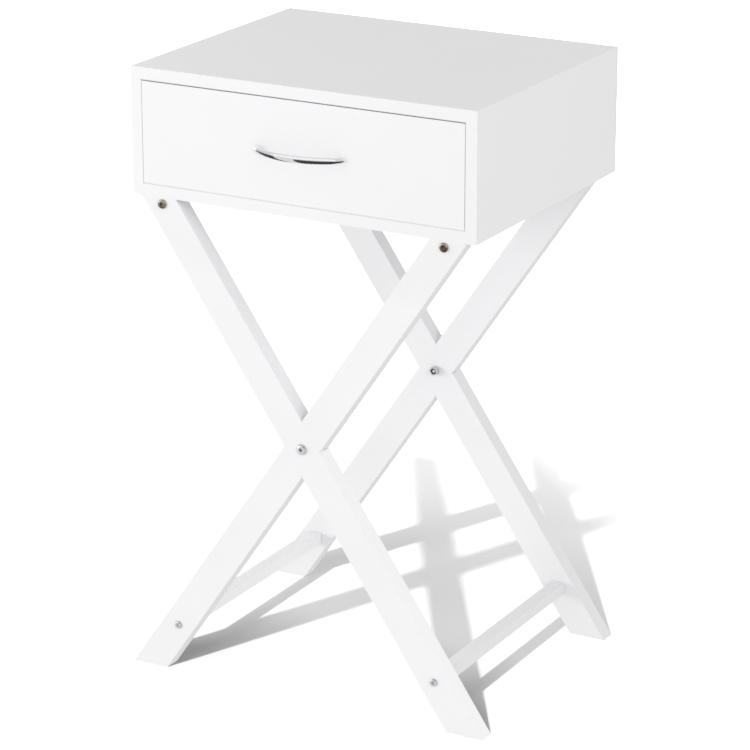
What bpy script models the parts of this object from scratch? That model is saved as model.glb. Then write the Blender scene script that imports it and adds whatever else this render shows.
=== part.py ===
"""A small side table: a box with one drawer, carried on two rigid X frames.

Metres, +Z up. The front faces -Y. The origin is on the floor, at the middle of the
whole object's box, which the drawer pull makes a little deeper than the table.
"""

import math

import bmesh
import bpy
from mathutils import Matrix, Vector

MM = 0.001
GAP = 0.3 * MM  # between pieces that touch

# The box
WIDTH = 400 * MM
DEPTH = 322 * MM
HEIGHT = 664 * MM
BOX_HEIGHT = 135.5 * MM
BOARD = 12.7 * MM
BACK_BOARD = 3 * MM
PULL_REACH = 23 * MM  # from the drawer front to the pull's outermost line

# The X frames
LEG_WIDE = 34.5 * MM
LEG_THICK = 19.5 * MM
LEG_TOP_X = 168.7 * MM  # leg centre line at the underside of the box
LEG_FOOT_X = 191.9 * MM  # leg centre line at the floor
REAR_INSET = 7.8 * MM  # rear frame, in from the back of the box

# Rails and stretchers that tie the two frames together
RAIL_WIDE = 16 * MM
RAIL_HIGH = 12 * MM
STRETCHER_WIDE = 16 * MM
STRETCHER_HIGH = 12 * MM
STRETCHER_Z = 53 * MM

# The drawer
FRONT_SIDE_GAP = 0.9 * MM
FRONT_TOP_GAP = 1.5 * MM
FRONT_BOTTOM_GAP = 0.8 * MM
RUNNER_SPACE = 13 * MM  # between a drawer side and the side panel
DRAWER_WALL = 12 * MM
DRAWER_BASE = 3.2 * MM
DRAWER_SIDE_HIGH = 78 * MM
DRAWER_SIDE_LIFT = 7.8 * MM  # drawer side's lower edge, over the bottom panel
DRAWER_BASE_LIFT = 11 * MM  # drawer base, over the drawer side's lower edge
DRAWER_LENGTH = 277 * MM
GROOVE_DEEP = 5 * MM

# The pull
PULL_CENTRES = 96 * MM
PULL_THICK = 4.4 * MM
PULL_TALL_END = 6.8 * MM
PULL_TALL_MIDDLE = 7.8 * MM
PULL_FOOT_WIDE = 11.4 * MM
PULL_FOOT_REACH = 6.8 * MM
PULL_END_RISE = 3.6 * MM  # bow's centre line over the front, at the feet

# The runners
SHEET = 1.2 * MM
ROLLER_RADIUS = 7.5 * MM
ROLLER_WIDE = 5.6 * MM
ROLLER_BORE = 2.3 * MM
PIN_RADIUS = 2 * MM
PIN_SHOULDER = 3.2 * MM
PIN_HEAD = 0.7 * MM
CABINET_ROLLER_Y = 27 * MM  # behind the front plane
DRAWER_ROLLER_Y = 272 * MM

# Worked out from the above
FRONT_Y = (PULL_REACH - DEPTH) / 2
BACK_Y = FRONT_Y + DEPTH
BOX_Z = HEIGHT - BOX_HEIGHT
FLOOR_Z = BOX_Z + BOARD  # upper face of the bottom panel
LEAN = math.atan((LEG_TOP_X + LEG_FOOT_X) / BOX_Z)
CROSS_Z = BOX_Z * LEG_FOOT_X / (LEG_TOP_X + LEG_FOOT_X)
REAR_LEG_Y = BACK_Y - REAR_INSET - LEG_THICK
RAIL_START = FRONT_Y + LEG_THICK + GAP
RAIL_END = REAR_LEG_Y - GAP
TOP_BOLT_Z = BOX_Z - 6.5 * MM
INNER_X = WIDTH / 2 - BOARD
SIDE_X = INNER_X - RUNNER_SPACE  # outer face of a drawer side
DRAWER_Y = FRONT_Y + BOARD + GAP  # where the drawer's sides start
SIDE_Z = FLOOR_Z + DRAWER_SIDE_LIFT
BASE_Z = SIDE_Z + DRAWER_BASE_LIFT
DRAWER_FRONT_LOW = FLOOR_Z + FRONT_BOTTOM_GAP
DRAWER_FRONT_HIGH = HEIGHT - BOARD - FRONT_TOP_GAP
PULL_Z = (DRAWER_FRONT_LOW + DRAWER_FRONT_HIGH) / 2

FRONT, REAR, LEFT, RIGHT = "front", "rear", "left", "right"


# ---------------------------------------------------------------- materials


def material(name, colour, roughness, metallic=0.0):
    made = bpy.data.materials.new(name)
    made.use_nodes = True
    shader = made.node_tree.nodes["Principled BSDF"]
    shader.inputs["Base Color"].default_value = (*colour, 1)
    shader.inputs["Roughness"].default_value = roughness
    shader.inputs["Metallic"].default_value = metallic
    made.diffuse_color = (*colour, 1)
    return made


# name, colour, roughness, metallic
FINISHES = {
    "white_lacquer": ((0.80, 0.80, 0.81), 0.35, 0.0),
    "white_board": ((0.78, 0.78, 0.79), 0.52, 0.0),
    "chrome": ((0.86, 0.86, 0.87), 0.08, 1.0),
    "bronze": ((0.20, 0.13, 0.08), 0.35, 1.0),
    "zinc": ((0.62, 0.63, 0.65), 0.30, 1.0),
    "white_steel": ((0.77, 0.77, 0.78), 0.42, 0.0),
    "nylon": ((0.78, 0.77, 0.73), 0.50, 0.0),
}


def dress(obj, finish):
    """Gives the object its own material, of one of the finishes."""
    colour, roughness, metallic = FINISHES[finish]
    obj.data.materials.clear()
    obj.data.materials.append(material(f"{obj.name}_{finish}", colour, roughness, metallic))
    return obj


# ------------------------------------------------------------------- shapes


def clear_scene():
    for obj in list(bpy.data.objects):
        bpy.data.objects.remove(obj, do_unlink=True)


def place(name, shape, location=(0, 0, 0)):
    """An object that owns the bmesh's shape, at a location."""
    bmesh.ops.recalc_face_normals(shape, faces=shape.faces)
    mesh = bpy.data.meshes.new(name)
    shape.to_mesh(mesh)
    shape.free()
    obj = bpy.data.objects.new(name, mesh)
    obj.location = location
    bpy.context.scene.collection.objects.link(obj)
    return obj


def block(name, low, high):
    """A box between two opposite corners, with its origin at its centre."""
    low, high = Vector(low), Vector(high)
    shape = bmesh.new()
    bmesh.ops.create_cube(shape, size=1)
    bmesh.ops.scale(shape, vec=high - low, verts=shape.verts)
    return place(name, shape, (low + high) / 2)


def prism(name, outline, y0, y1):
    """An outline of (x, z) points, extruded along Y from y0 to y1."""
    shape = bmesh.new()
    corners = [shape.verts.new((x, 0, z)) for x, z in outline]
    cap = shape.faces.new(corners)
    grown = bmesh.ops.extrude_face_region(shape, geom=[cap])["geom"]
    far = [item for item in grown if isinstance(item, bmesh.types.BMVert)]
    bmesh.ops.translate(shape, vec=(0, y1 - y0, 0), verts=far)
    return place(name, shape, (0, y0, 0))


def turned(name, profile, sides):
    """A profile of (radius, height) points, spun about its own +Z axis.

    The profile starts and ends on the axis, or closes into a ring where no radius is 0.
    """
    shape = bmesh.new()
    corners = [shape.verts.new((radius, 0, height)) for radius, height in profile]
    edges = [shape.edges.new(pair) for pair in zip(corners, corners[1:])]
    if all(radius > 0 for radius, _ in profile):
        edges.append(shape.edges.new((corners[-1], corners[0])))
    bmesh.ops.spin(
        shape,
        geom=corners + edges,
        cent=(0, 0, 0),
        axis=(0, 0, 1),
        angle=math.tau,
        steps=sides,
        use_merge=True,
    )
    bmesh.ops.remove_doubles(shape, verts=shape.verts, dist=1e-6)
    return place(name, shape)


def round_bar(name, radius, low, high, sides=12):
    return turned(name, [(0, low), (radius, low), (radius, high), (0, high)], sides)


def aim(obj, point, direction):
    """Moves the object to a point and turns its +Z to a direction."""
    turn = Vector((0, 0, 1)).rotation_difference(Vector(direction))
    obj.rotation_euler = turn.to_euler()
    obj.location = point
    return obj


def smooth(obj, degrees=35):
    obj.data.shade_smooth()
    obj.data.set_sharp_from_angle(angle=math.radians(degrees))
    return obj


def combine(obj, tool, operation):
    """A Boolean on the object. The tool is a helper that isn't part of the table."""
    tool.name = f"{obj.name}_tool"
    tool.hide_render = True
    tool.display_type = "WIRE"
    step = obj.modifiers.new(tool.name, "BOOLEAN")
    step.operation = operation
    step.solver = "EXACT"
    step.object = tool
    return obj


def drill(obj, radius, point, direction, length, sides=16):
    """A round hole from a point just outside the surface, to a depth of length."""
    over = 1 * MM
    tool = round_bar("tool", radius, -over, length, sides)
    return combine(obj, aim(tool, point, direction), "DIFFERENCE")


# ------------------------------------------------------------------ fixings


def cross_outline(reach, wide):
    """The outline of a plus sign, centred on the axis."""
    half = wide / 2
    quarter = [(reach, -half), (reach, half), (half, half)]
    points = []
    for turns in range(4):
        turn = Matrix.Rotation(turns * math.pi / 2, 2)
        points += [turn @ Vector(point) for point in quarter]
    return points


def socket_tool(kind, size, deep, top):
    """A cutter for a six-sided socket or a cross slot, down from the head's top."""
    over = 1 * MM
    if kind == "hex":
        reach = size / 2 / math.cos(math.pi / 6)
        tool = round_bar("tool", reach, top - deep, top + over, 6)
    else:
        tool = prism("tool", cross_outline(size / 2, size / 4.5), top - deep, top + over)
        tool.location = (0, 0, 0)
        tool.data.transform(Matrix.Translation((0, top - deep, 0)))
        tool.data.transform(Matrix.Rotation(math.pi / 2, 4, "X"))
    return tool


def fastener(name, finish, point, direction, head, shank, drive, sides=16):
    """A screw or bolt. The point is on the face it sits on, and direction leads out of it.

    head is (radius, height) and shank is (radius, length), with the shank below the face.
    drive is (kind, size, depth).
    """
    head_radius, head_high = head
    shank_radius, length = shank
    tip = 0.6 * shank_radius
    rim = 0.45 * head_high
    profile = [
        (0, -length),
        (tip, -length),
        (shank_radius, -length + shank_radius),
        (shank_radius, 0),
        (head_radius, 0),
        (head_radius, rim),
        (0.93 * head_radius, 0.75 * head_high),
        (0.72 * head_radius, head_high),
        (0, head_high),
    ]
    obj = turned(name, profile, sides)
    tool = socket_tool(*drive, head_high)
    combine(obj, tool, "DIFFERENCE")
    for piece in (obj, tool):
        aim(piece, point, direction)
    return dress(smooth(obj), finish)


# ---------------------------------------------------------------------- box


def build_box():
    half = WIDTH / 2
    side_back = BACK_Y - BACK_BOARD - GAP
    top_z = HEIGHT - BOARD
    top = block("top_panel", (-half, FRONT_Y, top_z), (half, BACK_Y, HEIGHT))
    bottom = block(
        "bottom_panel",
        (-INNER_X + GAP, FRONT_Y, BOX_Z),
        (INNER_X - GAP, side_back, FLOOR_Z),
    )
    back = block(
        "back_panel",
        (-half, BACK_Y - BACK_BOARD, BOX_Z + GAP),
        (half, BACK_Y, top_z - GAP),
    )
    for piece in (top, bottom, back):
        dress(piece, "white_lacquer")
    for side, name in ((-1, LEFT), (1, RIGHT)):
        panel = block(
            f"{name}_side_panel",
            (min(side * half, side * INNER_X), FRONT_Y, BOX_Z),
            (max(side * half, side * INNER_X), side_back, top_z - GAP),
        )
        for y in RUNNER_SCREW_YS:
            drill(panel, 1.9 * MM, (side * INNER_X, y, RUNNER_SCREW_Z), (side, 0, 0), 9.5 * MM)
        dress(panel, "white_lacquer")
    return bottom


# ---------------------------------------------------------------- X frames


def leg_x(z, side):
    """The centre line's x at a height, of a leg whose top is on that side."""
    return side * (LEG_TOP_X - (BOX_Z - z) * math.tan(LEAN))


def leg_outline(side, low, high, wide):
    half = wide / 2 / math.cos(LEAN)
    return [
        (leg_x(low, side) - half, low),
        (leg_x(low, side) + half, low),
        (leg_x(high, side) + half, high),
        (leg_x(high, side) - half, high),
    ]


def build_leg(name, side, front_face, outward, housed_in_front):
    """One leg. Half its thickness is cut away at the crossing, where the other leg lies."""
    back_face = front_face + LEG_THICK
    leg = prism(name, leg_outline(side, 0, BOX_Z - GAP, LEG_WIDE), front_face, back_face)
    middle = (front_face + back_face) / 2
    over = 1 * MM
    if housed_in_front:
        reach = (front_face - over, middle + GAP / 2)
    else:
        reach = (middle - GAP / 2, back_face + over)
    low, high = CROSS_Z - 90 * MM, CROSS_Z + 90 * MM
    housing = prism("tool", leg_outline(-side, low, high, LEG_WIDE + 2 * GAP), *reach)
    combine(leg, housing, "DIFFERENCE")
    face = front_face if outward < 0 else back_face
    inward = (0, -outward, 0)
    through = LEG_THICK + over
    drill(leg, 2.9 * MM, (leg_x(TOP_BOLT_Z, side), face, TOP_BOLT_Z), inward, through)
    drill(leg, 3.4 * MM, (0, face, CROSS_Z), inward, through)
    drill(leg, 2.4 * MM, (leg_x(STRETCHER_Z, side), face, STRETCHER_Z), inward, through)
    return dress(leg, "white_lacquer")


def build_frame(place_name, front_face, outward):
    """Two crossed legs, the bolt and nut at the crossing, and the bolts into rails and stretchers."""
    build_leg(f"{place_name}_leg_a", -1, front_face, outward, housed_in_front=outward > 0)
    build_leg(f"{place_name}_leg_b", 1, front_face, outward, housed_in_front=outward < 0)
    outer = front_face if outward < 0 else front_face + LEG_THICK
    seat = outer + outward * GAP
    out = (0, outward, 0)
    fastener(
        f"{place_name}_cross_bolt",
        "zinc",
        (0, seat, CROSS_Z),
        out,
        (5.5 * MM, 2 * MM),
        (3 * MM, LEG_THICK + 5 * MM),
        ("hex", 4 * MM, 1.4 * MM),
    )
    nut = turned(
        f"{place_name}_cross_nut",
        [
            (3.3 * MM, 0),
            (5.2 * MM, 0),
            (5.2 * MM, 1.2 * MM),
            (4.4 * MM, 1.6 * MM),
            (4.4 * MM, 5.4 * MM),
            (3.9 * MM, 6 * MM),
            (3.3 * MM, 6 * MM),
        ],
        16,
    )
    inner = outer - outward * (LEG_THICK + GAP)
    aim(nut, (0, inner, CROSS_Z), (0, -outward, 0))
    dress(smooth(nut), "zinc")
    for side, name in ((-1, LEFT), (1, RIGHT)):
        fastener(
            f"{place_name}_{name}_top_bolt",
            "bronze",
            (leg_x(TOP_BOLT_Z, side), seat, TOP_BOLT_Z),
            out,
            (4.9 * MM, 2 * MM),
            (2.5 * MM, 48 * MM),
            ("hex", 4 * MM, 1.4 * MM),
        )
        fastener(
            f"{place_name}_{name}_foot_screw",
            "zinc",
            (leg_x(STRETCHER_Z, -side), seat, STRETCHER_Z),
            out,
            (4.2 * MM, 1.6 * MM),
            (2 * MM, 46 * MM),
            ("cross", 4.6 * MM, 1.1 * MM),
        )


def build_ties(bottom):
    """A rail under each side of the box and a stretcher near each pair of feet."""
    end_hole = 32 * MM
    for side, name in ((-1, LEFT), (1, RIGHT)):
        rail_x = leg_x(TOP_BOLT_Z, side)
        rail = block(
            f"{name}_rail",
            (rail_x - RAIL_WIDE / 2, RAIL_START, BOX_Z - GAP - RAIL_HIGH),
            (rail_x + RAIL_WIDE / 2, RAIL_END, BOX_Z - GAP),
        )
        foot_x = leg_x(STRETCHER_Z, -side)
        stretcher = block(
            f"{name}_stretcher",
            (foot_x - STRETCHER_WIDE / 2, RAIL_START, STRETCHER_Z - STRETCHER_HIGH / 2),
            (foot_x + STRETCHER_WIDE / 2, RAIL_END, STRETCHER_Z + STRETCHER_HIGH / 2),
        )
        for y, inward in ((RAIL_START, 1), (RAIL_END, -1)):
            along = (0, inward, 0)
            drill(rail, 2.9 * MM, (rail_x, y, TOP_BOLT_Z), along, end_hole)
            drill(stretcher, 2.4 * MM, (foot_x, y, STRETCHER_Z), along, end_hole)
        for y, where in ((FRONT_Y + 75 * MM, FRONT), (BACK_Y - 80 * MM, REAR)):
            down = (0, 0, -1)
            drill(bottom, 2.2 * MM, (rail_x, y, FLOOR_Z), down, BOARD + 1 * MM)
            drill(rail, 2.1 * MM, (rail_x, y, BOX_Z - GAP), down, 11 * MM)
            fastener(
                f"{name}_{where}_rail_screw",
                "zinc",
                (rail_x, y, FLOOR_Z + GAP),
                (0, 0, 1),
                (3.6 * MM, 1.6 * MM),
                (1.8 * MM, 23 * MM),
                ("cross", 3.8 * MM, 1 * MM),
                12,
            )
        for piece in (rail, stretcher):
            dress(piece, "white_lacquer")


# ------------------------------------------------------------------- drawer


def grooved_outline(side):
    """A drawer side's section, with a groove for the base in its inner face."""
    outer = side * SIDE_X
    inner = side * (SIDE_X - DRAWER_WALL)
    bed = side * (SIDE_X - DRAWER_WALL + GROOVE_DEEP)
    top = SIDE_Z + DRAWER_SIDE_HIGH
    return [
        (outer, SIDE_Z),
        (outer, top),
        (inner, top),
        (inner, BASE_Z + DRAWER_BASE + GAP),
        (bed, BASE_Z + DRAWER_BASE + GAP),
        (bed, BASE_Z - GAP),
        (inner, BASE_Z - GAP),
        (inner, SIDE_Z),
    ]


def build_drawer():
    wall_end = DRAWER_Y + DRAWER_LENGTH
    inside_x = SIDE_X - DRAWER_WALL
    front = block(
        "drawer_front",
        (-INNER_X + FRONT_SIDE_GAP, FRONT_Y, DRAWER_FRONT_LOW),
        (INNER_X - FRONT_SIDE_GAP, FRONT_Y + BOARD, DRAWER_FRONT_HIGH),
    )
    for side in (-1, 1):
        drill(
            front,
            2.4 * MM,
            (side * PULL_CENTRES / 2, FRONT_Y, PULL_Z),
            (0, 1, 0),
            BOARD + 1 * MM,
        )
    dress(front, "white_lacquer")
    for side, name in ((-1, LEFT), (1, RIGHT)):
        wall = prism(f"drawer_{name}_side", grooved_outline(side), DRAWER_Y, wall_end)
        for y in DRAWER_SCREW_YS:
            drill(wall, 1.8 * MM, (side * DRAWER_SCREW_X, y, SIDE_Z), (0, 0, 1), 8.6 * MM)
        dress(wall, "white_board")
    back = block(
        "drawer_back",
        (-inside_x + GAP, wall_end - DRAWER_WALL, BASE_Z + DRAWER_BASE + GAP),
        (inside_x - GAP, wall_end, SIDE_Z + DRAWER_SIDE_HIGH),
    )
    reach = inside_x + GROOVE_DEEP - GAP
    base = block(
        "drawer_base",
        (-reach, DRAWER_Y, BASE_Z),
        (reach, wall_end, BASE_Z + DRAWER_BASE),
    )
    for piece in (back, base):
        dress(piece, "white_board")


def build_pull():
    """A flat bow on two round feet, and the screws that reach it through the drawer front."""
    half = PULL_CENTRES / 2
    sagitta = PULL_REACH - PULL_THICK / 2 - PULL_END_RISE
    radius = (half**2 + sagitta**2) / (2 * sagitta)
    swing = math.asin(half / radius) + math.radians(1.2)
    centre_y = radius - (PULL_REACH - PULL_THICK / 2)
    shape = bmesh.new()
    section_sides, steps = 14, 22
    ring = []
    for index in range(section_sides):
        angle = math.tau * index / section_sides
        ring.append(
            shape.verts.new(
                (
                    0,
                    centre_y - radius + PULL_THICK / 2 * math.sin(angle),
                    0.5 * math.cos(angle),
                )
            )
        )
    start = Matrix.Rotation(-swing, 3, "Z")
    bmesh.ops.rotate(shape, cent=(0, centre_y, 0), matrix=start, verts=ring)
    cap = shape.faces.new(ring)
    bmesh.ops.spin(
        shape,
        geom=[cap],
        cent=(0, centre_y, 0),
        axis=(0, 0, 1),
        angle=2 * swing,
        steps=steps,
    )
    for vert in shape.verts:
        share = min(abs(vert.co.x) / half, 1) ** 2
        vert.co.z *= PULL_TALL_MIDDLE + (PULL_TALL_END - PULL_TALL_MIDDLE) * share
    pull = place("drawer_pull", shape, (0, FRONT_Y, PULL_Z))
    foot_radius = PULL_FOOT_WIDE / 2
    foot_profile = [
        (0, GAP),
        (foot_radius, GAP),
        (foot_radius, 0.62 * PULL_FOOT_REACH),
        (0.86 * foot_radius, 0.88 * PULL_FOOT_REACH),
        (0.55 * foot_radius, PULL_FOOT_REACH),
        (0, PULL_FOOT_REACH),
    ]
    for side, name in ((-1, LEFT), (1, RIGHT)):
        foot = turned("tool", foot_profile, 20)
        foot.data.transform(Matrix.Diagonal((1, PULL_TALL_END / PULL_FOOT_WIDE, 1, 1)))
        combine(pull, aim(foot, (side * half, FRONT_Y, PULL_Z), (0, -1, 0)), "UNION")
        drill(pull, 2.3 * MM, (side * half, FRONT_Y - GAP, PULL_Z), (0, -1, 0), 5.2 * MM)
        fastener(
            f"pull_{name}_screw",
            "zinc",
            (side * half, FRONT_Y + BOARD + GAP, PULL_Z),
            (0, 1, 0),
            (3.8 * MM, 1.8 * MM),
            (2 * MM, BOARD + 4.6 * MM),
            ("cross", 4 * MM, 1 * MM),
            12,
        )
    dress(smooth(pull, 50), "chrome")


# ------------------------------------------------------------------ runners

# Heights, from the drawer side's lower edge up
DRAWER_FLANGE_Z = SIDE_Z - GAP - SHEET
DRAWER_LIP_TOP = SIDE_Z + 24.8 * MM
CABINET_ROLLER_Z = DRAWER_LIP_TOP - SHEET - GAP - ROLLER_RADIUS
CABINET_FLANGE_Z = CABINET_ROLLER_Z - ROLLER_RADIUS - 2 * MM
DRAWER_ROLLER_Z = CABINET_FLANGE_Z + SHEET + GAP + ROLLER_RADIUS
CABINET_LIP_TOP = DRAWER_LIP_TOP + 2.4 * MM
RUNNER_SCREW_Z = CABINET_ROLLER_Z + 1 * MM

# Distances from the middle of the table out to each layer of the runners
DRAWER_WEB = SIDE_X + GAP
ROLLER_IN = DRAWER_WEB + SHEET + 1.4 * MM
CABINET_WEB = INNER_X - GAP - SHEET
FLANGE_IN = SIDE_X - 11 * MM
DRAWER_SCREW_X = SIDE_X - DRAWER_WALL / 2

RUNNER_SCREW_YS = (FRONT_Y + 62 * MM, FRONT_Y + 250 * MM)
DRAWER_SCREW_YS = (FRONT_Y + 50 * MM, FRONT_Y + 240 * MM)


def mirrored(points, side):
    return [(side * x, z) for x, z in points]


def cabinet_section():
    """A channel that opens towards the drawer, as (distance from the middle, height)."""
    outer = CABINET_WEB + SHEET
    lip = ROLLER_IN + 1 * MM
    low, high = CABINET_FLANGE_Z, CABINET_LIP_TOP
    return [
        (outer, low),
        (outer, high),
        (lip, high),
        (lip, high - SHEET),
        (CABINET_WEB, high - SHEET),
        (CABINET_WEB, low + SHEET),
        (ROLLER_IN - 0.4 * MM, low + SHEET),
        (ROLLER_IN - 0.4 * MM, low),
    ]


def drawer_section():
    """A step: a flange under the drawer side, a web up it, and a lip out over the roller."""
    lip = CABINET_WEB - 0.8 * MM
    low, high = DRAWER_FLANGE_Z, DRAWER_LIP_TOP
    return [
        (FLANGE_IN, low),
        (DRAWER_WEB + SHEET, low),
        (DRAWER_WEB + SHEET, high - SHEET),
        (lip, high - SHEET),
        (lip, high),
        (DRAWER_WEB, high),
        (DRAWER_WEB, low + SHEET),
        (FLANGE_IN, low + SHEET),
    ]


def add_pin(runner, name, side, web, towards, y, z):
    """A stepped pin riveted to the runner's web, and the roller that turns on it.

    web is the distance of the web's middle from the table's middle, and towards is 1 where
    the pin points away from the drawer.
    """
    near = ROLLER_IN - GAP if towards > 0 else ROLLER_IN + ROLLER_WIDE + GAP
    far = ROLLER_IN + ROLLER_WIDE + GAP if towards > 0 else ROLLER_IN - GAP
    lengths = [towards * (at - web) for at in (near, far)]
    profile = [
        (0, 0),
        (PIN_SHOULDER, 0),
        (PIN_SHOULDER, lengths[0]),
        (PIN_RADIUS, lengths[0]),
        (PIN_RADIUS, lengths[1]),
        (PIN_SHOULDER, lengths[1]),
        (PIN_SHOULDER, lengths[1] + PIN_HEAD),
        (0, lengths[1] + PIN_HEAD),
    ]
    pin = turned("tool", profile, 16)
    aim(pin, (side * web, y, z), (side * towards, 0, 0))
    combine(runner, pin, "UNION")
    rim = 0.6 * MM
    roller = turned(
        name,
        [
            (ROLLER_BORE, 0),
            (ROLLER_RADIUS - rim, 0),
            (ROLLER_RADIUS, rim),
            (ROLLER_RADIUS, ROLLER_WIDE - rim),
            (ROLLER_RADIUS - rim, ROLLER_WIDE),
            (ROLLER_BORE, ROLLER_WIDE),
        ],
        24,
    )
    aim(roller, (side * ROLLER_IN, y, z), (side, 0, 0))
    dress(smooth(roller), "nylon")


def build_runners():
    for side, name in ((-1, LEFT), (1, RIGHT)):
        cabinet = prism(
            f"cabinet_{name}_runner",
            mirrored(cabinet_section(), side),
            FRONT_Y + 16 * MM,
            FRONT_Y + 296 * MM,
        )
        drawer = prism(
            f"drawer_{name}_runner",
            mirrored(drawer_section(), side),
            DRAWER_Y + 1 * MM,
            FRONT_Y + 284 * MM,
        )
        add_pin(
            cabinet,
            f"cabinet_{name}_roller",
            side,
            CABINET_WEB + SHEET / 2,
            -1,
            FRONT_Y + CABINET_ROLLER_Y,
            CABINET_ROLLER_Z,
        )
        add_pin(
            drawer,
            f"drawer_{name}_roller",
            side,
            DRAWER_WEB + SHEET / 2,
            1,
            FRONT_Y + DRAWER_ROLLER_Y,
            DRAWER_ROLLER_Z,
        )
        for y, where in zip(RUNNER_SCREW_YS, (FRONT, REAR)):
            drill(cabinet, 2 * MM, (side * CABINET_WEB, y, RUNNER_SCREW_Z), (side, 0, 0), 3 * MM)
            fastener(
                f"cabinet_{name}_{where}_runner_screw",
                "zinc",
                (side * (CABINET_WEB - GAP), y, RUNNER_SCREW_Z),
                (-side, 0, 0),
                (2.8 * MM, 1.2 * MM),
                (1.5 * MM, 10 * MM),
                ("cross", 3 * MM, 0.7 * MM),
                12,
            )
        for y, where in zip(DRAWER_SCREW_YS, (FRONT, REAR)):
            at = side * DRAWER_SCREW_X
            drill(drawer, 2 * MM, (at, y, DRAWER_FLANGE_Z), (0, 0, 1), 3 * MM)
            fastener(
                f"drawer_{name}_{where}_runner_screw",
                "zinc",
                (at, y, DRAWER_FLANGE_Z - GAP),
                (0, 0, -1),
                (2.8 * MM, 1.2 * MM),
                (1.4 * MM, 9.6 * MM),
                ("cross", 3 * MM, 0.7 * MM),
                12,
            )
        for piece in (cabinet, drawer):
            dress(piece, "white_steel")


# --------------------------------------------------------------------- main


def main():
    clear_scene()
    bottom = build_box()
    build_frame(FRONT, FRONT_Y, -1)
    build_frame(REAR, REAR_LEG_Y, 1)
    build_ties(bottom)
    build_drawer()
    build_pull()
    build_runners()


main()
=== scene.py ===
"""The looks of a white side table with one drawer on two X frames."""

import math

import bmesh
import bpy
from mathutils import Matrix, Vector


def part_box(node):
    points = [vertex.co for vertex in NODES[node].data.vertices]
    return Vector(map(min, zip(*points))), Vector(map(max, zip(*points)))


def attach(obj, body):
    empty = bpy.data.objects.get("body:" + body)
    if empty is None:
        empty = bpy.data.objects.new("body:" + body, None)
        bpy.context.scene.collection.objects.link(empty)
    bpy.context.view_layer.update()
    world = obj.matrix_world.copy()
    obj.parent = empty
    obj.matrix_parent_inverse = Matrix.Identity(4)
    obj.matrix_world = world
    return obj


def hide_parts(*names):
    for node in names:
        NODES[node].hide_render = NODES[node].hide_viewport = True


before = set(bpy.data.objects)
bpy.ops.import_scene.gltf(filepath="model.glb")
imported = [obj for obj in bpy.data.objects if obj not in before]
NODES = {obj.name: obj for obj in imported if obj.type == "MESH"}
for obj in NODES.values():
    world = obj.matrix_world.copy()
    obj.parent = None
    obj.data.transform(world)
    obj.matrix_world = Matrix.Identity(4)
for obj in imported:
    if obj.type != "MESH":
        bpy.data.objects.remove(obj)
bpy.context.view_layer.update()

MM = 0.001

LEAN = math.radians(34.3)  # legs, from the vertical
LEG_WIDE = 34.5 * MM
PULL_CENTRES = 96 * MM  # between its two screws
PULL_THICK = 4.4 * MM
PULL_TALL_END = 6.8 * MM
PULL_TALL_MIDDLE = 7.8 * MM
PULL_FOOT_WIDE = 11.4 * MM
PULL_END_RISE = 5.6 * MM  # the arc's middle line, off the drawer front at the screws
PROUD = 0.02 * MM  # how far filler stands out of the surface it closes

TABLE, DRAWER = "table", "drawer"


# ---------------------------------------------------------------- materials


class Look:
    """A node material, built node by node. An input that is a socket is linked.

    Inputs given as keywords have _ for each space in their names.
    """

    def __init__(self, name, colour, roughness, **shader):
        self.material = bpy.data.materials.new(name)
        self.material.use_nodes = True
        self.material.diffuse_color = (*colour, 1)
        self.tree = self.material.node_tree
        self.shader = self.tree.nodes["Principled BSDF"]
        self.set(self.shader, Base_Color=(*colour, 1), Roughness=roughness, **shader)
        self.coords = self.node("ShaderNodeTexCoord").outputs["Object"]

    def set(self, node, **values):
        for key, value in values.items():
            socket = node.inputs[key.replace("_", " ")]
            if isinstance(value, bpy.types.NodeSocket):
                self.tree.links.new(value, socket)
            else:
                socket.default_value = value

    def node(self, kind, **values):
        node = self.tree.nodes.new(kind)
        self.set(node, **values)
        return node

    def mapped(self, vector, rotation=(0, 0, 0), scale=(1, 1, 1)):
        node = self.node("ShaderNodeMapping", Vector=vector, Rotation=rotation, Scale=scale)
        return node.outputs["Vector"]

    def noise(self, vector, scale, detail=2.0, roughness=0.5):
        values = {"Vector": vector, "Scale": scale, "Detail": detail, "Roughness": roughness}
        return self.node("ShaderNodeTexNoise", **values).outputs["Fac"]

    def ranged(self, value, low, high, start=0.3, end=0.7):
        """The value, stretched from start..end to low..high."""
        node = self.node("ShaderNodeMapRange", Value=value, From_Min=start, From_Max=end)
        self.set(node, To_Min=low, To_Max=high)
        return node.outputs["Result"]

    def tinted(self, factor, dark, light):
        """A mix of two colours. Its sockets share their names with other types' sockets."""
        node = self.node("ShaderNodeMix")
        node.data_type = "RGBA"
        self.tree.links.new(factor, node.inputs[0])
        node.inputs[6].default_value = (*dark, 1)
        node.inputs[7].default_value = (*light, 1)
        return node.outputs[2]

    def added(self, first, second, share):
        """first + second * share."""
        node = self.node("ShaderNodeMath")
        node.operation = "MULTIPLY_ADD"
        self.tree.links.new(second, node.inputs[0])
        node.inputs[1].default_value = share
        self.tree.links.new(first, node.inputs[2])
        return node.outputs[0]

    def bump(self, height, strength, distance):
        node = self.node("ShaderNodeBump", Height=height, Strength=strength, Distance=distance)
        self.set(self.shader, Normal=node.outputs["Normal"])

    def colour(self, socket):
        self.set(self.shader, Base_Color=socket)

    def roughness(self, socket):
        self.set(self.shader, Roughness=socket)


WHITE = (0.80, 0.80, 0.81)


def shaded(colour, factor):
    return tuple(channel * factor for channel in colour)


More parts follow.
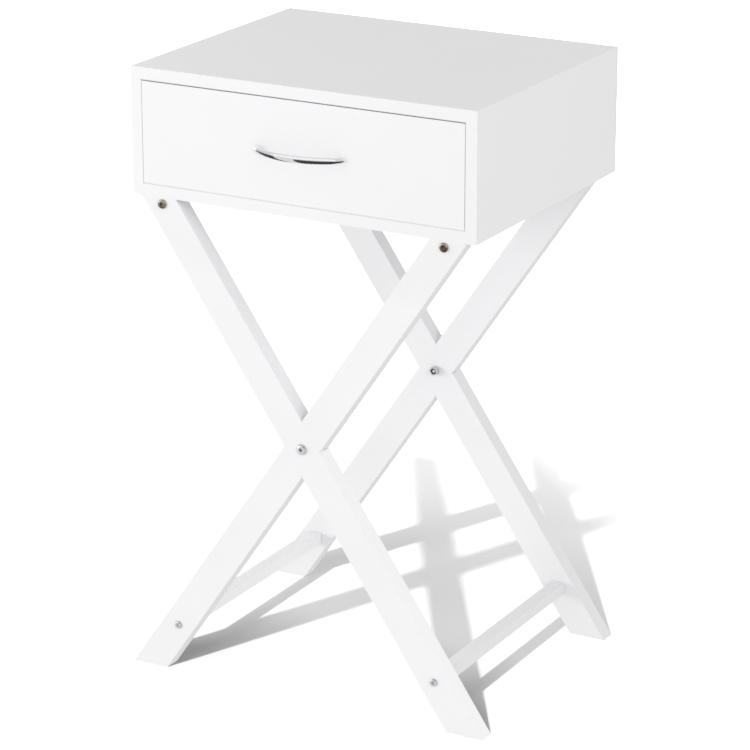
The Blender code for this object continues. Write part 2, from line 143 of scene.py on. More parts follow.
def lacquer_on_board():
    """Rolled satin lacquer: a fine orange peel, with slight changes in tone and gloss."""
    look = Look("white_lacquer_board", WHITE, 0.34, Specular_IOR_Level=0.4)
    patches = look.noise(look.coords, scale=7, detail=3)
    look.colour(look.tinted(patches, dark=shaded(WHITE, 0.985), light=shaded(WHITE, 1.012)))
    sheen = look.added(look.noise(look.coords, scale=60), patches, share=0.6)
    look.roughness(look.ranged(sheen, low=0.30, high=0.40, start=0.55, end=1.05))
    peel = look.noise(look.coords, scale=650, roughness=0.55)
    fine = look.noise(look.coords, scale=2600, detail=1)
    look.bump(look.added(peel, fine, share=0.35), strength=0.06, distance=0.4 * MM)
    return look.material


def lacquer_on_wood(name, rotation):
    """The same lacquer over solid wood, whose grain shows faintly along the piece.

    rotation turns the piece's length to the vertical.
    """
    look = Look(name, WHITE, 0.36, Specular_IOR_Level=0.4)
    stretched = look.mapped(look.mapped(look.coords, rotation=rotation), scale=(1, 1, 0.035))
    bands = look.noise(stretched, scale=75, detail=3)
    grain = look.added(look.noise(stretched, scale=420, detail=3, roughness=0.6), bands, share=0.8)
    tone = look.added(look.noise(look.coords, scale=9), grain, share=0.35)
    tone = look.ranged(tone, low=0, high=1, start=0.7, end=1.25)
    look.colour(look.tinted(tone, dark=shaded(WHITE, 0.98), light=shaded(WHITE, 1.012)))
    look.roughness(look.ranged(bands, low=0.31, high=0.42))
    peel = look.noise(look.coords, scale=800)
    look.bump(look.added(grain, peel, share=0.5), strength=0.07, distance=0.35 * MM)
    return look.material


def melamine():
    """White melamine film with a pearl texture, for the drawer's box."""
    colour = shaded(WHITE, 0.97)
    look = Look("white_melamine", colour, 0.5, Specular_IOR_Level=0.35)
    patches = look.noise(look.coords, scale=12)
    look.colour(look.tinted(patches, dark=shaded(colour, 0.98), light=shaded(colour, 1.01)))
    pearl = look.node("ShaderNodeTexVoronoi", Vector=look.coords, Scale=900.0).outputs["Distance"]
    look.roughness(look.ranged(patches, low=0.45, high=0.56))
    fine = look.noise(look.coords, scale=1500)
    look.bump(look.added(pearl, fine, share=0.5), strength=0.12, distance=0.25 * MM)
    return look.material


def hardboard():
    """The thin back panel: white film over hardboard, slightly wavy."""
    colour = shaded(WHITE, 0.96)
    look = Look("white_hardboard", colour, 0.45, Specular_IOR_Level=0.35)
    waves = look.noise(look.coords, scale=14)
    look.colour(look.tinted(waves, dark=shaded(colour, 0.975), light=shaded(colour, 1.01)))
    look.roughness(look.ranged(waves, low=0.40, high=0.52))
    fine = look.noise(look.coords, scale=1100)
    look.bump(look.added(fine, waves, share=2.0), strength=0.08, distance=0.5 * MM)
    return look.material


def powder_coat():
    """White powder coat on the runners, with a fine, even pebble."""
    colour = shaded(WHITE, 0.96)
    look = Look("white_powder_coat", colour, 0.42, Specular_IOR_Level=0.45)
    patches = look.noise(look.coords, scale=30)
    look.colour(look.tinted(patches, dark=shaded(colour, 0.97), light=shaded(colour, 1.01)))
    look.roughness(look.ranged(patches, low=0.36, high=0.48))
    pebble = look.noise(look.coords, scale=1300, roughness=0.6)
    look.bump(pebble, strength=0.25, distance=0.15 * MM)
    return look.material


def moulded_nylon():
    """Off-white nylon for the rollers: a little light passes into it."""
    colour = (0.70, 0.69, 0.65)
    glow_depth = (2 * MM, 2 * MM, 2 * MM)
    look = Look("nylon", colour, 0.45, Subsurface_Weight=0.15, Subsurface_Radius=glow_depth)
    cloud = look.noise(look.coords, scale=180)
    look.colour(look.tinted(cloud, dark=shaded(colour, 0.95), light=shaded(colour, 1.02)))
    look.roughness(look.ranged(cloud, low=0.38, high=0.52))
    look.bump(look.noise(look.coords, scale=1600), strength=0.15, distance=0.1 * MM)
    return look.material


def plated(name, colour, roughness, mottle, scratches):
    """Plated metal: a mottled gloss and fine scratches along one slanting way."""
    look = Look(name, colour, roughness, Metallic=1.0)
    cloud = look.noise(look.coords, scale=260, detail=3, roughness=0.6)
    tone = look.ranged(cloud, low=0, high=1)
    look.colour(look.tinted(tone, dark=shaded(colour, 1 - mottle), light=colour))
    look.roughness(look.ranged(cloud, low=roughness * 0.8, high=roughness * 1.35))
    drawn = look.mapped(look.coords, rotation=(0.4, 0.2, 0.6), scale=(1, 1, 0.05))
    lines = look.noise(drawn, scale=5200, detail=1)
    look.bump(look.added(lines, cloud, share=0.6), strength=scratches, distance=0.05 * MM)
    return look.material


BOARD = lacquer_on_board()
LEG_A = lacquer_on_wood("white_lacquer_wood_a", (0, LEAN, 0))
LEG_B = lacquer_on_wood("white_lacquer_wood_b", (0, -LEAN, 0))
LONG_WOOD = lacquer_on_wood("white_lacquer_wood_long", (math.pi / 2, 0, 0))
MELAMINE = melamine()
HARDBOARD = hardboard()
POWDER = powder_coat()
NYLON = moulded_nylon()
CHROME = plated("chrome", (0.86, 0.86, 0.87), roughness=0.06, mottle=0.02, scratches=0.03)
ZINC = plated("zinc", (0.66, 0.67, 0.69), roughness=0.42, mottle=0.10, scratches=0.10)
BRONZE = plated("bronze", (0.42, 0.34, 0.275), roughness=0.30, mottle=0.30, scratches=0.15)

LOOKS = (  # how a CAD node's name ends, and its look
    ("_pull", CHROME),
    ("_top_bolt", BRONZE),
    (("_screw", "_bolt", "_nut"), ZINC),
    ("_roller", NYLON),
    ("_runner", POWDER),
    ("leg_a", LEG_A),
    ("leg_b", LEG_B),
    (("_rail", "_stretcher"), LONG_WOOD),
    ("back_panel", HARDBOARD),
    (("drawer_left_side", "drawer_right_side", "drawer_back", "drawer_base"), MELAMINE),
    ("", BOARD),
)
ROUNDINGS = (  # how a CAD node's name ends, and the radius of its edges
    (("leg_a", "leg_b", "_stretcher", "_rail"), 0.9 * MM),
    ("_runner", 0.25 * MM),
    (("back_panel", "drawer_base"), 0.3 * MM),
    ("", 0.4 * MM),
)


def first_fit(name, table):
    """The value in the table's first row whose ending fits the name."""
    return next(value for ending, value in table if name.endswith(ending))


# ---------------------------------------------------------------- CAD nodes


def joined_mesh_nodes():
    """A modifier that joins a mesh's faces at their shared corners and shades them smooth."""
    tree = bpy.data.node_groups.new("joined_and_smooth", "GeometryNodeTree")
    tree.interface.new_socket("Geometry", in_out="INPUT", socket_type="NodeSocketGeometry")
    tree.interface.new_socket("Geometry", in_out="OUTPUT", socket_type="NodeSocketGeometry")
    kinds = (
        "NodeGroupInput",
        "GeometryNodeRemoveAttribute",
        "GeometryNodeMergeByDistance",
        "GeometryNodeSetShadeSmooth",
        "GeometryNodeSetShadeSmooth",
        "NodeGroupOutput",
    )
    steps = [tree.nodes.new(kind) for kind in kinds]
    remove, merge, smooth_faces, smooth_edges = steps[1:-1]
    remove.inputs["Name"].default_value = "custom_normal"
    merge.inputs["Distance"].default_value = 0.01 * MM
    smooth_faces.domain = "FACE"
    smooth_edges.domain = "EDGE"
    for before, after in zip(steps, steps[1:]):
        tree.links.new(before.outputs[0], after.inputs[0])
    return tree


def round_edges(obj, width, segments=3, degrees=30):
    """A bevel on the edges sharper than this, which leaves the faces' shading flat."""
    bevel = obj.modifiers.new("rounded", "BEVEL")
    bevel.width = width
    bevel.segments = segments
    bevel.limit_method = "ANGLE"
    bevel.angle_limit = math.radians(degrees)
    bevel.use_clamp_overlap = True
    bevel.harden_normals = True
    bevel.miter_outer = "MITER_ARC"


def flatten_faces(obj):
    """Joins the slivers round the holes in a flat face, which would crease the bevel."""
    flat = obj.modifiers.new("flat_faces", "DECIMATE")
    flat.decimate_type = "DISSOLVE"
    flat.angle_limit = math.radians(0.5)


def finish_nodes():
    """Materials and rounded edges for the CAD nodes. Small round ones keep their edges."""
    group = joined_mesh_nodes()
    for name, obj in NODES.items():
        obj.data.materials.clear()
        obj.data.materials.append(first_fit(name, LOOKS))
        joined = obj.modifiers.new("joined", "NODES")
        joined.node_group = group
        if name.endswith(("leg_a", "leg_b")):
            flatten_faces(obj)
        if not name.endswith(("_screw", "_bolt", "_nut", "_pull", "_roller")):
            round_edges(obj, first_fit(name, ROUNDINGS), degrees=40)


# ------------------------------------------------------------------ shapes


def made(name, shape, look, body, smooth_degrees=40):
    """An object from a bmesh in the row frame, which rides on a body."""
    bmesh.ops.recalc_face_normals(shape, faces=shape.faces)
    mesh = bpy.data.meshes.new(name)
    shape.to_mesh(mesh)
    shape.free()
    mesh.shade_smooth()
    mesh.set_sharp_from_angle(angle=math.radians(smooth_degrees))
    mesh.materials.append(look)
    obj = bpy.data.objects.new(name, mesh)
    bpy.context.scene.collection.objects.link(obj)
    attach(obj, body)
    return obj


def skin(shape, rings):
    """Adds faces from ring to ring of points, and closes the first and the last ring."""
    rings = [[shape.verts.new(point) for point in ring] for ring in rings]
    for low, high in zip(rings, rings[1:]):
        for index in range(len(low)):
            after = (index + 1) % len(low)
            shape.faces.new((low[index], low[after], high[after], high[index]))
    shape.faces.new(rings[0][::-1])
    shape.faces.new(rings[-1])


def add_block(shape, low, high):
    """Adds a box between two corners."""
    low, high = Vector(low), Vector(high)
    verts = bmesh.ops.create_cube(shape, size=1)["verts"]
    bmesh.ops.scale(shape, vec=high - low, verts=verts)
    bmesh.ops.translate(shape, vec=(low + high) / 2, verts=verts)


def turned(profile, sides):
    """A bmesh spun about +Z from (radius, height) points."""
    shape = bmesh.new()
    rings = []
    for radius, height in profile:
        if radius == 0:
            rings.append([shape.verts.new((0, 0, height))])
            continue
        ring = []
        for index in range(sides):
            angle = math.tau * index / sides
            point = (radius * math.cos(angle), radius * math.sin(angle), height)
            ring.append(shape.verts.new(point))
        rings.append(ring)
    for low, high in zip(rings, rings[1:]):
        for index in range(sides):
            after = (index + 1) % sides
            if len(low) == 1:
                corners = (low[0], high[index], high[after])
            elif len(high) == 1:
                corners = (low[index], low[after], high[0])
            else:
                corners = (low[index], low[after], high[after], high[index])
            shape.faces.new(corners)
    return shape


# ---------------------------------------------------------------- fastenings

SHARP_METAL = 32  # degrees between faces, from which a metal edge stays sharp
METALS = {"zinc": ZINC, "bronze": BRONZE}

HEX = ("hex", 3.6 * MM, 2.6 * MM)  # a drive's kind, size and depth
FOOT_CROSS = ("cross", 4.6 * MM, 1.2 * MM)
PULL_CROSS = ("cross", 4 * MM, 1 * MM)
SMALL_CROSS = ("cross", 3.4 * MM, 0.9 * MM)


def head_rings(radius, high):
    """The outer side of a domed head, from its seat up to the drive's flat."""
    side, flat = 0.33, 0.62  # shares of the height and of the radius
    points = [(radius, 0), (radius, high * side)]
    steps = 6
    for step in range(1, steps + 1):
        angle = math.pi / 2 * step / steps
        reach = flat + (1 - flat) * math.cos(angle)
        rise = side + (1 - side) * math.sin(angle)
        points.append((radius * reach, high * rise))
    return points


def drive_cutter(kind, size, deep, top):
    """A six-sided socket, or a cross whose wings narrow as they go down."""
    over = 0.5 * MM
    if kind == "hex":
        low_scale, high_scale = 1.0, 1.0
        reach = size / 2 / math.cos(math.pi / 6)
        angles = [math.tau * index / 6 for index in range(6)]
        outline = [(reach * math.cos(angle), reach * math.sin(angle)) for angle in angles]
    else:
        low_scale, high_scale = 0.45, 1.15
        half = size / 9
        arm = [(size / 2, -half), (size / 2, half), (half, half)]
        outline = []
        for quarter in range(4):
            turn = Matrix.Rotation(quarter * math.pi / 2, 2)
            outline += [tuple(turn @ Vector(point)) for point in arm]
    shape = bmesh.new()
    levels = ((top - deep, low_scale), (top + over, high_scale))
    skin(shape, [[(x * scale, y * scale, z) for x, y in outline] for z, scale in levels])
    return shape


def cut(obj, shape):
    """Cuts a bmesh from an object and keeps only the result."""
    bmesh.ops.recalc_face_normals(shape, faces=shape.faces)
    mesh = bpy.data.meshes.new("cutter")
    shape.to_mesh(mesh)
    shape.free()
    cutter = bpy.data.objects.new("cutter", mesh)
    bpy.context.scene.collection.objects.link(cutter)
    step = obj.modifiers.new("cut", "BOOLEAN")
    step.operation = "DIFFERENCE"
    step.solver = "EXACT"
    step.object = cutter
    graph = bpy.context.evaluated_depsgraph_get()
    result = bpy.data.meshes.new_from_object(obj.evaluated_get(graph))
    obj.modifiers.remove(step)
    old = obj.data
    obj.data = result
    bpy.data.meshes.remove(old)
    bpy.data.objects.remove(cutter)
    bpy.data.meshes.remove(mesh)
    obj.data.shade_smooth()
    obj.data.set_sharp_from_angle(angle=math.radians(SHARP_METAL))


def seat_mesh(obj, point, out, roll):
    """Rolls a mesh about its +Z, turns that outward and moves the mesh to a point."""
    turn = out.to_track_quat("Z", "Y").to_matrix().to_4x4()
    obj.data.transform(Matrix.Translation(point) @ turn @ Matrix.Rotation(roll, 4, "Z"))


def fastener(node, body, out, head_high, shank_radius, drive, metal="zinc"):
    """A finer screw or bolt in place of a CAD node, on the node's own axis and seat."""
    low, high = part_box(node)
    out = Vector(out)
    size = high - low
    length = abs(size.dot(out))
    head_radius = max(size[axis] for axis in range(3) if abs(out[axis]) < 0.5) / 2
    shank = length - head_high
    tip_radius, tip_high = 0.55 * shank_radius, 0.8 * shank_radius
    profile = [
        (0, -shank),
        (tip_radius, -shank),
        (shank_radius, tip_high - shank),
        (shank_radius, 0),
        *head_rings(head_radius, head_high),
        (0, head_high),
    ]
    obj = made(f"{node}_fine", turned(profile, 48), METALS[metal], body, SHARP_METAL)
    cut(obj, drive_cutter(*drive, head_high))
    seat_mesh(obj, (low + high) / 2 + out * (length / 2 - head_high), out, roll=0.35)
    round_edges(obj, 0.12 * MM, 2, SHARP_METAL)
    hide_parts(node)


def hex_nut(node, body, out):
    """A chamfered six-sided nut in place of a CAD ring, with the bolt's bore through it."""
    low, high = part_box(node)
    out = Vector(out)
    depth = abs((high - low).dot(out))
    radius = (high - low).x / 2
    blank = turned([(radius, 0), (radius, depth)], 6)
    bmesh.ops.holes_fill(blank, edges=blank.edges)
    obj = made(f"{node}_fine", blank, ZINC, body, SHARP_METAL)

    over, chamfer = 0.1 * MM, 0.75 * MM
    outside, corner, face = radius * 1.3, radius * 1.01, radius * 0.86
    profile = [
        (outside, -over),
        (outside, depth + over),
        (face, depth + over),
        (corner, depth - chamfer),
        (corner, chamfer),
        (face, -over),
        (outside, -over),
    ]
    corners = turned(profile, 48)
    bmesh.ops.remove_doubles(corners, verts=corners.verts, dist=1e-7)
    cut(obj, corners)

    bore, start, sink_from, end = 3.3 * MM, -1 * MM, depth - 0.5 * MM, depth + 0.7 * MM
    sink_end = bore + 1.2 * MM
    profile = [(0, start), (bore, start), (bore, sink_from), (sink_end, end), (0, end)]
    cut(obj, turned(profile, 32))

    seat_mesh(obj, (low + high) / 2 - out * depth / 2, out, roll=0.3)
    round_edges(obj, 0.1 * MM, 2, SHARP_METAL)
    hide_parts(node)


def build_fastenings():
    for place, out in (("front", (0, -1, 0)), ("rear", (0, 1, 0))):
        inward = tuple(-part for part in out)
        fastener(f"{place}_cross_bolt", TABLE, out, 2 * MM, 3 * MM, HEX)
        hex_nut(f"{place}_cross_nut", TABLE, inward)
        for side in ("left", "right"):
            bolt = f"{place}_{side}_top_bolt"
            fastener(bolt, TABLE, out, 2 * MM, 2.5 * MM, HEX, "bronze")
            screw = f"{place}_{side}_foot_screw"
            fastener(screw, TABLE, out, 1.6 * MM, 2 * MM, FOOT_CROSS)
    for side, sign in (("left", -1), ("right", 1)):
        fastener(f"pull_{side}_screw", DRAWER, (0, 1, 0), 1.8 * MM, 2 * MM, PULL_CROSS)
        for place in ("front", "rear"):
            rail = f"{side}_{place}_rail_screw"
            fastener(rail, TABLE, (0, 0, 1), 1.6 * MM, 1.8 * MM, SMALL_CROSS)
            runner = f"cabinet_{side}_{place}_runner_screw"
            fastener(runner, TABLE, (-sign, 0, 0), 1.2 * MM, 1.5 * MM, SMALL_CROSS)
            runner = f"drawer_{side}_{place}_runner_screw"
            fastener(runner, DRAWER, (0, 0, -1), 1.2 * MM, 1.4 * MM, SMALL_CROSS)


def nail(point):
    """A small domed nail along +Y, whose head lies on the surface at this point."""
    shank, shank_deep, head = 0.6 * MM, -1.5 * MM, 1.7 * MM
    profile = [(0, shank_deep), (shank, shank_deep), (shank, PROUD), (head, PROUD)]
    profile += [(1.55 * MM, 0.25 * MM), (1.0 * MM, 0.42 * MM), (0, 0.5 * MM)]
    shape = turned(profile, 20)
    turn = Vector((0, 0, 1)).rotation_difference(Vector((0, 1, 0))).to_matrix().to_4x4()
    bmesh.ops.transform(shape, matrix=Matrix.Translation(point) @ turn, verts=shape.verts)
    return shape


def build_back_nails():
    """The nails that hold the back panel to the sides and the bottom."""
    edge, top_edge = 6.3 * MM, 16 * MM
    low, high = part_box("back_panel")
    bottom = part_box("bottom_panel")
    bottom_z = (bottom[0].z + bottom[1].z) / 2
    left, right, rise = low.x + edge, high.x - edge, high.z - top_edge - bottom_z
    places = []
    for share in (0.28, 0.64, 1.0):
        z = bottom_z + rise * share
        places += [(left, z), (right, z)]
    spaces = 5
    for step in range(spaces + 1):
        places.append((left + (right - left) * step / spaces, bottom_z))
    for index, (x, z) in enumerate(places):
        made(f"back_nail_{index + 1}", nail((x, high.y, z)), ZINC, TABLE)


# ------------------------------------------------------- filler and strips


def build_seam_filler():
    """Filler over the joints between the box's panels, so that the lacquer runs across."""
    lap, inset = 0.8 * MM, 0.3 * MM
    top_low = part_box("top_panel")[0]
    side_low, side_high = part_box("right_side_panel")
    floor_low, floor_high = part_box("bottom_panel")
    front, rear = side_low.y - PROUD, side_high.y - inset
    shape = bmesh.new()
    for side in (-1, 1):
        across = sorted((side * (side_low.x + inset), side * (side_high.x + PROUD)))
        low = (across[0], front, side_high.z - lap)
        add_block(shape, low, (across[1], rear, top_low.z + lap))
        across = sorted((side * (floor_high.x - lap), side * (side_low.x + lap)))
        low = (across[0], front, floor_low.z - PROUD)
        add_block(shape, low, (across[1], rear, floor_high.z - inset))
    round_edges(made("seam_filler", shape, BOARD, TABLE), 0.4 * MM)


def build_joint_filler():
    """Filler in the seams round the crossings, where one leg's edges lie on the other."""
    reach = LEG_WIDE / math.sin(2 * LEAN) / 2  # half a side of the crossing's lozenge
    half_wide, half_long, deep = 1.25 * MM, reach - 1.3 * MM, 1.0 * MM
    shape = bmesh.new()
    for place, outward in (("front", -1), ("rear", 1)):
        low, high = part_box(f"{place}_leg_a")
        bolt_low, bolt_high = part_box(f"{place}_cross_bolt")
        centre_z = (bolt_low.z + bolt_high.z) / 2
        for face, out in ((low.y, -1), (high.y, 1)):
            lean = -LEAN if out == outward else LEAN  # of the leg that is whole on this face
            along = Vector((math.sin(lean), 0, math.cos(lean)))
            other = Vector((-math.sin(lean), 0, math.cos(lean)))
            side = Vector((along.z, 0, -along.x))
            for sign in (-1, 1):
                middle = Vector((0, face + out * PROUD, centre_z)) + other * (sign * reach)
                outer = [
                    middle + side * (x * half_wide) + along * (z * half_long)
                    for x, z in ((-1, -1), (1, -1), (1, 1), (-1, 1))
                ]
                inner = [point - Vector((0, out * deep, 0)) for point in outer]
                skin(shape, [outer, inner])
    made("joint_filler", shape, LEG_A, TABLE)


def build_leg_top_filler():
    """Filler where the front legs meet the box, flush with the front."""
    box_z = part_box("bottom_panel")[0].z
    inset, deep = 0.9 * MM, 1.0 * MM
    levels = (-1.5 * MM, 0, 0.7 * MM)  # from the box's underside
    shape = bmesh.new()
    for name, side in (("front_leg_a", -1), ("front_leg_b", 1)):
        low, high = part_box(name)
        outer = abs(low.x if side < 0 else high.x) - inset
        inner = outer - LEG_WIDE / math.cos(LEAN) + 2 * inset
        outline = []
        for reach, order in ((outer, levels), (inner, levels[::-1])):
            for level in order:
                x = side * (reach + min(level, 0) * math.tan(LEAN))
                outline.append((x, box_z + level))
        skin(shape, [[(x, y, z) for x, z in outline] for y in (low.y - PROUD, low.y + deep)])
    made("leg_top_filler", shape, BOARD, TABLE)


def build_gap_strips():
    """Edge strips inside the opening, which narrow the gaps round the drawer front."""
    clear, above = 0.2 * MM, 0.85 * MM  # the gaps that they leave
    sunk, back, short = 0.1 * MM, 0.9 * MM, 1 * MM
    front_low, front_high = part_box("drawer_front")
    inner_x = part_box("right_side_panel")[0].x + sunk
    floor_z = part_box("bottom_panel")[1].z - sunk
    ceiling_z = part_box("top_panel")[0].z + sunk
    near, far = front_low.y + back, front_high.y - short
    shape = bmesh.new()
    for side in (-1, 1):
        across = sorted((side * (front_high.x + clear), side * inner_x))
        add_block(shape, (across[0], near, floor_z), (across[1], far, ceiling_z))
    add_block(shape, (-inner_x, near, floor_z), (inner_x, far, front_low.z - clear))
    add_block(shape, (-inner_x, near, front_high.z + above), (inner_x, far, ceiling_z))
    made("gap_strips", shape, BOARD, TABLE)


# --------------------------------------------------------------------- pull

PULL_FOOT = (  # mm inward of the screw, mm off the front, turn, shares of width and height
    (0.0, 0.3, 0.0, 1.0, 1.0),
    (0.0, 1.0, 0.0, 1.0, 1.0),
    (-0.05, 2.0, 0.02, 0.97, 0.995),
    (0.25, 3.3, 0.18, 0.82, 0.985),
    (1.1, 4.6, 0.42, 0.62, 0.975),
    (2.7, 6.9, 0.75, 0.51, 0.97),
)


def pull_arc(front_y, half):
    """The bow between the feet, which widens a little where it meets them."""
    inset, steps = 0.075, 48  # radians left to the feet at each end
    flare_from, flare_by = 0.86, 0.16  # shares of the half length and of the thickness
    reach = front_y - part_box("drawer_pull")[0].y - PULL_THICK / 2
    sagitta = reach - PULL_END_RISE
    radius = (half**2 + sagitta**2) / (2 * sagitta)
    swing = math.asin(half / radius) - inset
    middle_tall = PULL_TALL_MIDDLE / 2
    end_tall = PULL_TALL_END / 2 * PULL_FOOT[-1][-1]
    stations = []
    for step in range(steps + 1):
        angle = swing * (2 * step / steps - 1)
        x, y = radius * math.sin(angle), front_y - reach + radius * (1 - math.cos(angle))
        out = abs(x) / half
        flare = max(0, (out - flare_from) / (1 - flare_from))
        thin = PULL_THICK / 2 * (1 + flare_by * flare)
        tall = middle_tall + (end_tall - middle_tall) * min(out, 1) ** 2
        stations.append(((x, y), math.pi / 2 + angle, thin, tall))
    return stations


def pull_stations(front_y):
    """Along the pull: (point, direction of travel, half thickness, half height)."""
    half = PULL_CENTRES / 2
    foot, tall = PULL_FOOT_WIDE / 2, PULL_TALL_END / 2
    left = [
        ((inward * MM - half, front_y - off * MM), turn, foot * wide_share, tall * tall_share)
        for inward, off, turn, wide_share, tall_share in PULL_FOOT
    ]
    right = [((-x, y), math.pi - turn, thin, high) for (x, y), turn, thin, high in left[::-1]]
    return left + pull_arc(front_y, half) + right


def build_pull():
    """A chrome bow: a flat oval section that flares into two round feet."""
    front_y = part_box("drawer_front")[0].y
    low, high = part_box("drawer_pull")
    middle_z = (low.z + high.z) / 2
    sides = 28
    rings = []
    for (x, y), turn, thin, tall in pull_stations(front_y):
        travel = Vector((math.sin(turn), -math.cos(turn), 0))
        across = Vector((travel.y, -travel.x, 0))
        ring = []
        for index in range(sides):
            angle = math.tau * index / sides
            offset = across * (thin * math.cos(angle)) + Vector((0, 0, tall * math.sin(angle)))
            ring.append(Vector((x, y, middle_z)) + offset)
        rings.append(ring)
    shape = bmesh.new()
    skin(shape, rings)
    pull = made("pull_bow", shape, CHROME, DRAWER, 60)
    rounding = pull.modifiers.new("smoothed", "SUBSURF")
    rounding.levels = rounding.render_levels = 1
    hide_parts("drawer_pull")
    return pull


# -------------------------------------------------------------------- stage

CAMERA_AZIMUTH = math.radians(29.02)
CAMERA_ELEVATION = math.radians(18.66)
CAMERA_PLACE = (1.5637, -2.8121, 1.4050)
CAMERA_LENS = 152.65
SENSOR_WIDE = 36

STAGE_REACH = 16
ROOM_LEVEL = 0.737
FLOOR_BOUNCE = 0.80
TABLE_MIDDLE = Vector((0, 0, 0.33))
KEY = (5.9, 36.5)  # azimuth and elevation, in degrees
KEY_LIGHTS = (  # name, spread in degrees, level
    ("key", 1.8, 2.4),
    ("wide_key", 28, 0.75),
)
SOFT_DISTANCE = 4.2
SOFT_LIGHTS = (  # name, azimuth, elevation, size, level
    ("left_soft", -55, 5, (2.4, 1.2), 0.400),
    ("front_soft", 34, 5, (2.4, 1.2), 0.135),
    ("right_soft", 60, 34, (2.2, 2.2), 0.185),
    ("rear_soft", -125, 30, (2.2, 2.2), 0.127),
)
LEG_FILL = ("leg_fill", 90, 34, (2.2, 2.2), 0.19)


def toward(azimuth, elevation):
    """The direction from the object to a viewer or a light."""
    return Vector(
        (
            math.sin(azimuth) * math.cos(elevation),
            -math.cos(azimuth) * math.cos(elevation),
            math.sin(elevation),
        )
    )


def build_camera():
    data = bpy.data.cameras.new("camera")
    data.sensor_width = SENSOR_WIDE
    data.lens = CAMERA_LENS
    data.clip_end = 100
    camera = bpy.data.objects.new("camera", data)
    camera.location = CAMERA_PLACE
    back = toward(CAMERA_AZIMUTH, CAMERA_ELEVATION)
    camera.rotation_euler = back.to_track_quat("Z", "Y").to_euler()
    bpy.context.scene.collection.objects.link(camera)
    bpy.context.scene.camera = camera


def linked(name, objects, excluded):
    """A collection that takes in only these objects, or all but these."""
    collection = bpy.data.collections.new(name)
    for obj in objects:
        collection.objects.link(obj)
    if excluded:
        for entry in collection.collection_objects:
            entry.light_linking.link_state = "EXCLUDE"
    return collection


def only_for(light, objects, blockers, excluded=False):
    """Limits what a light falls on and what blocks it, or leaves those things out."""
    linking = light.light_linking
    linking.receiver_collection = linked(f"{light.name}_receivers", objects, excluded)
    linking.blocker_collection = linked(f"{light.name}_blockers", blockers, excluded)


def turn_to(light, azimuth, elevation):
    """Turns a light to shine from there, and returns the direction to it."""
    direction = toward(math.radians(azimuth), math.radians(elevation))
    light.rotation_euler = direction.to_track_quat("Z", "Y").to_euler()
    bpy.context.scene.collection.objects.link(light)
    return direction


def soft_light(name, azimuth, elevation, size, level):
    """An area light. level is about the radiance of a white surface that faces it."""
    data = bpy.data.lights.new(name, "AREA")
    data.shape = "RECTANGLE"
    data.size, data.size_y = size
    data.energy = level * math.pi**2 * SOFT_DISTANCE**2
    light = bpy.data.objects.new(name, data)
    light.location = TABLE_MIDDLE + turn_to(light, azimuth, elevation) * SOFT_DISTANCE
    light.visible_camera = False
    return light


def far_light(name, azimuth, elevation, spread, level):
    """A sun. level is the radiance of a white surface that faces it."""
    data = bpy.data.lights.new(name, "SUN")
    data.angle = math.radians(spread)
    data.energy = level * math.pi
    light = bpy.data.objects.new(name, data)
    turn_to(light, azimuth, elevation)
    return light


def plain_sheet(name, corners, look):
    """One flat face on the stage, which is no part of the model."""
    mesh = bpy.data.meshes.new(name)
    mesh.from_pydata(corners, [], [tuple(range(len(corners)))])
    mesh.materials.append(look)
    obj = bpy.data.objects.new(name, mesh)
    bpy.context.scene.collection.objects.link(obj)
    return obj


def hide_from(obj, *rays):
    for ray in rays:
        setattr(obj, f"visible_{ray}", False)


def build_world():
    """A grey studio above, and the light that a white floor throws up from below."""
    blend = 0.05
    world = bpy.data.worlds.new("studio")
    world.use_nodes = True
    tree = world.node_tree
    background = tree.nodes["Background"]
    coords = tree.nodes.new("ShaderNodeTexCoord")
    parts = tree.nodes.new("ShaderNodeSeparateXYZ")
    below = tree.nodes.new("ShaderNodeMapRange")
    below.interpolation_type = "SMOOTHSTEP"
    below.inputs["From Min"].default_value = -blend
    below.inputs["From Max"].default_value = blend
    below.inputs["To Min"].default_value = FLOOR_BOUNCE
    below.inputs["To Max"].default_value = ROOM_LEVEL
    tree.links.new(coords.outputs["Generated"], parts.inputs["Vector"])
    tree.links.new(parts.outputs["Z"], below.inputs["Value"])
    tree.links.new(below.outputs["Result"], background.inputs["Strength"])
    background.inputs["Color"].default_value = (1, 1, 1, 1)
    bpy.context.scene.world = world


def build_dome():
    """A white backdrop all round, which only the camera sees."""
    look = bpy.data.materials.new("backdrop_white")
    look.use_nodes = True
    tree = look.node_tree
    tree.nodes.remove(tree.nodes["Principled BSDF"])
    glow = tree.nodes.new("ShaderNodeEmission")
    glow.inputs["Strength"].default_value = 1.05
    tree.links.new(glow.outputs["Emission"], tree.nodes["Material Output"].inputs["Surface"])
    shape = bmesh.new()
    bmesh.ops.create_uvsphere(shape, u_segments=48, v_segments=24, radius=STAGE_REACH)
    mesh = bpy.data.meshes.new("backdrop")
    shape.to_mesh(mesh)
    shape.free()
    mesh.materials.append(look)
    dome = bpy.data.objects.new("backdrop", mesh)
    bpy.context.scene.collection.objects.link(dome)
    hide_from(dome, "diffuse", "glossy", "shadow", "transmission", "volume_scatter")


def floor_glow(paper):
    """The glow over the floor, by metres from its middle: more toward the back and right."""
    parts = paper.node("ShaderNodeSeparateXYZ", Vector=paper.coords)
    x, y = parts.outputs["X"], parts.outputs["Y"]
    near = paper.ranged(y, low=0, high=0.27, start=-0.09, end=0.06)
    behind = paper.ranged(y, low=0, high=0.28, start=0.25, end=0.75)
    far = paper.ranged(paper.added(y, x, share=1), low=0, high=0.45, start=0.50, end=0.66)
    return paper.added(paper.added(near, behind, share=1), far, share=1)


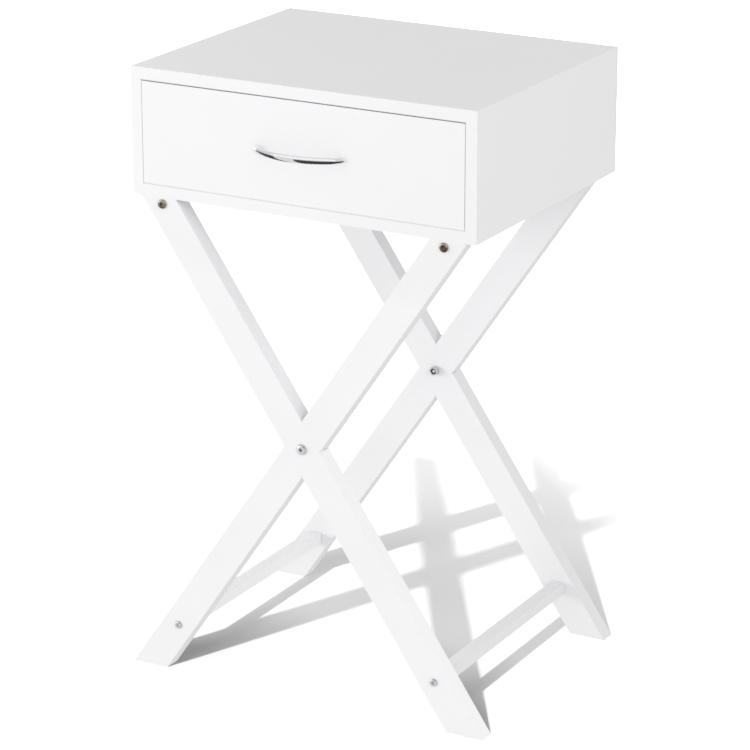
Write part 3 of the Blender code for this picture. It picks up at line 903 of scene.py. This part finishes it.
def build_floor():
    """Pale paper that glows more toward the back, so that far shadows fade to white."""
    tone, tone_change, floor_z = 0.4, 0.005, -0.2 * MM
    look = {"Specular_IOR_Level": 0.05, "Emission_Color": (1, 1, 1, 1)}
    paper = Look("studio_paper", (tone,) * 3, 0.95, **look)
    dark, light = (tone * (1 - tone_change),) * 3, (tone * (1 + tone_change),) * 3
    paper.colour(paper.tinted(paper.noise(paper.coords, scale=3), dark, light))
    paper.set(paper.shader, Emission_Strength=floor_glow(paper))
    paper.material.cycles.emission_sampling = "NONE"  # the glow lights nothing else
    signs = ((-1, -1), (1, -1), (1, 1), (-1, 1))
    corners = [(x * STAGE_REACH, y * STAGE_REACH, floor_z) for x, y in signs]
    floor = plain_sheet("floor", corners, paper.material)
    hide_from(floor, "diffuse", "glossy", "shadow")
    return floor


def build_cards():
    """Two black cards under the pull and a glowing white one above, seen only in reflections:
    painted dark and light reflections in the chrome.
    """
    tone = (0.02, 0.02, 0.02)
    black = Look("black_card", tone, 0.9).material
    glow = {"Emission_Color": (1, 1, 1, 1), "Emission_Strength": 1.0}
    white = Look("white_card", tone, 0.9, **glow).material
    front_y, low = -0.172, 0.45
    right = [(-0.02, -0.20), (-0.70, -2.0), (1.9, -1.8), (2.6, front_y), (0.10, front_y)]
    left = [(-0.10, front_y), (-2.6, front_y), (-1.93, -1.55), (-0.07, -0.20)]
    far, bottom, top = -2.5, 0.8, 5.0
    wall = [(-4.0, far, bottom), (2.5, far, bottom), (2.5, far, top), (-4.0, far, top)]
    for name, look, corners in (
        ("black_card_right", black, [(x, y, low) for x, y in right]),
        ("black_card_left", black, [(x, y, low) for x, y in left]),
        ("white_card", white, wall),
    ):
        hide_from(plain_sheet(name, corners, look), "camera", "diffuse", "shadow", "transmission")


def build_lights(floor, pull):
    """The keys throw the legs' shadows on the floor, and the soft lights light the table."""
    legs = [NODES[name] for name in NODES if name.endswith(("leg_a", "leg_b", "_stretcher"))]
    for name, spread, level in KEY_LIGHTS:
        only_for(far_light(name, *KEY, spread, level), [floor], legs)
    for settings in SOFT_LIGHTS:
        only_for(soft_light(*settings), [floor, pull], [pull], excluded=True)
    filled = [NODES["front_leg_a"], NODES["left_stretcher"]]
    only_for(soft_light(*LEG_FILL), filled, list(NODES.values()))


def main():
    build_camera()
    finish_nodes()
    build_fastenings()
    build_back_nails()
    build_seam_filler()
    build_joint_filler()
    build_leg_top_filler()
    build_gap_strips()
    pull = build_pull()
    floor = build_floor()
    build_cards()
    build_world()
    build_dome()
    build_lights(floor, pull)
    bpy.context.scene.view_settings.view_transform = "Standard"


main()
